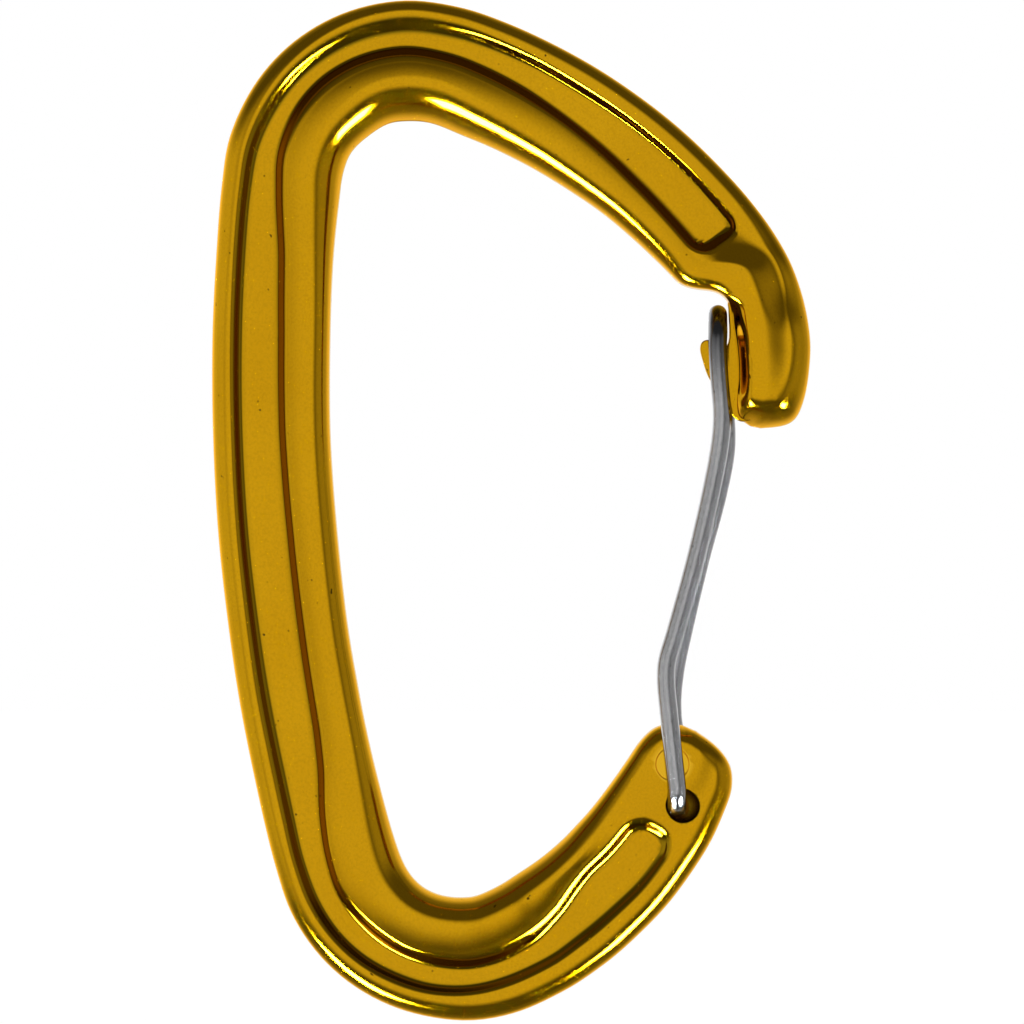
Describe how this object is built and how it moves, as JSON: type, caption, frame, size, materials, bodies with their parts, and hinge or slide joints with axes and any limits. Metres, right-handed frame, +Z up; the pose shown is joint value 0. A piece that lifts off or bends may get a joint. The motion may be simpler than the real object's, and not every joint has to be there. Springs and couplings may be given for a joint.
{
  "type": "wiregate carabiner",
  "caption": "Full-size wiregate carabiner: an I-beam forged body with a hooked nose and a bent wire gate that swings inwards and springs shut.",
  "frame": {"origin": "deepest point of the inner edge of the top basket, half way through the thickness, where the rope or sling bears", "axes": "+Z up along the long axis towards the outside of the top basket, +X from the spine towards the gate, -Y out of the front face"},
  "size_m": [0.0587, 0.0106, 0.1001],
  "materials": {
    "gold_anodised_alloy": "satin gold anodising on a tumbled hot forging",
    "stainless_wire": "drawn stainless wire, polished where it is bent"
  },
  "bodies": {
    "body": {"forged_body": "gold_anodised_alloy"},
    "gate": {"wire_gate": "stainless_wire"}
  },
  "joints": [
    {"name": "gate_hinge", "type": "hinge", "parent": "body", "child": "gate", "pos_m": [0.0263, 0, -0.065], "axis": [0, -1, 0], "range_deg": [0, 32], "stiffness_Nm_per_rad": 0.3, "springref_deg": -22.92}
  ]
}
